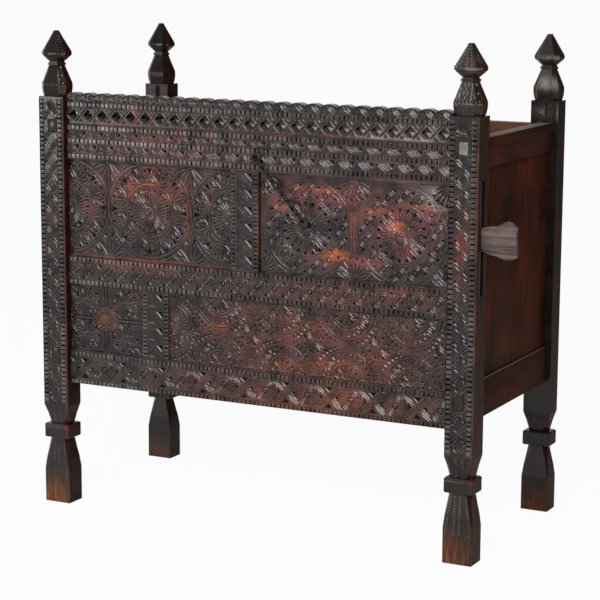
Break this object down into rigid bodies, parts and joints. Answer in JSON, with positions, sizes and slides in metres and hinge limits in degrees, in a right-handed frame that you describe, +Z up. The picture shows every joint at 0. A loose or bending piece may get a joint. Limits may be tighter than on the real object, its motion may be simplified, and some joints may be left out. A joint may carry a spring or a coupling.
{
  "type": "carved dowry chest",
  "caption": "Carved wooden dowry chest on tall legs, with a sliding front door pulled by a fish-tail handle, an iron chain and an open tray on top.",
  "frame": {"origin": "on the floor, under the middle of the box round the chest and its door handle", "axes": "+X to the right as one faces the carved front, +Y to the back, +Z up"},
  "size_m": [1.214, 0.536, 1.15],
  "materials": {
    "carved_wood": "old dark varnish, worn to red-brown on edges",
    "plain_wood": "worn dull stain",
    "board_wood": "grey and bare",
    "iron": "blackened forged iron"
  },
  "bodies": {
    "carcass": {"front_left_post": "carved_wood", "front_right_post": "carved_wood", "rear_left_post": "carved_wood", "rear_right_post": "carved_wood", "crest_board": "carved_wood", "front_top_rail": "carved_wood", "front_mid_rail": "carved_wood", "front_bottom_rail": "carved_wood", "upper_muntin": "carved_wood", "lower_muntin": "carved_wood", "upper_left_panel": "carved_wood", "lower_left_panel": "carved_wood", "lower_right_panel": "carved_wood", "left_top_rail": "plain_wood", "left_bottom_rail": "plain_wood", "left_front_plank": "plain_wood", "left_rear_plank": "plain_wood", "right_top_rail": "plain_wood", "right_bottom_rail": "plain_wood", "right_front_plank": "plain_wood", "right_rear_plank": "plain_wood", "back_top_rail": "plain_wood", "back_bottom_rail": "plain_wood", "back_plank_1": "plain_wood", "back_plank_2": "plain_wood", "back_plank_3": "plain_wood", "back_plank_4": "plain_wood", "back_plank_5": "plain_wood", "deck_board_front": "board_wood", "deck_board_middle": "board_wood", "deck_board_rear": "board_wood", "deck_bearer_left": "board_wood", "deck_bearer_middle": "board_wood", "deck_bearer_right": "board_wood", "floor_board_front": "board_wood", "floor_board_middle": "board_wood", "floor_board_rear": "board_wood", "floor_bearer_left": "board_wood", "floor_bearer_middle": "board_wood", "floor_bearer_right": "board_wood", "rail_staple": "iron"},
    "door": {"sliding_door": "carved_wood", "door_nail": "iron"},
    "chain": {"lock_chain": "iron"}
  },
  "joints": [
    {"name": "door_slide", "type": "slide", "parent": "carcass", "child": "door", "axis": [1, 0, 0], "range_m": [0, 0.33]},
    {"name": "chain_swing", "type": "hinge", "parent": "door", "child": "chain", "pos_m": [0.1026, -0.2615, 0.732], "axis": [0, -1, 0], "range_deg": [0, 139]}
  ]
}
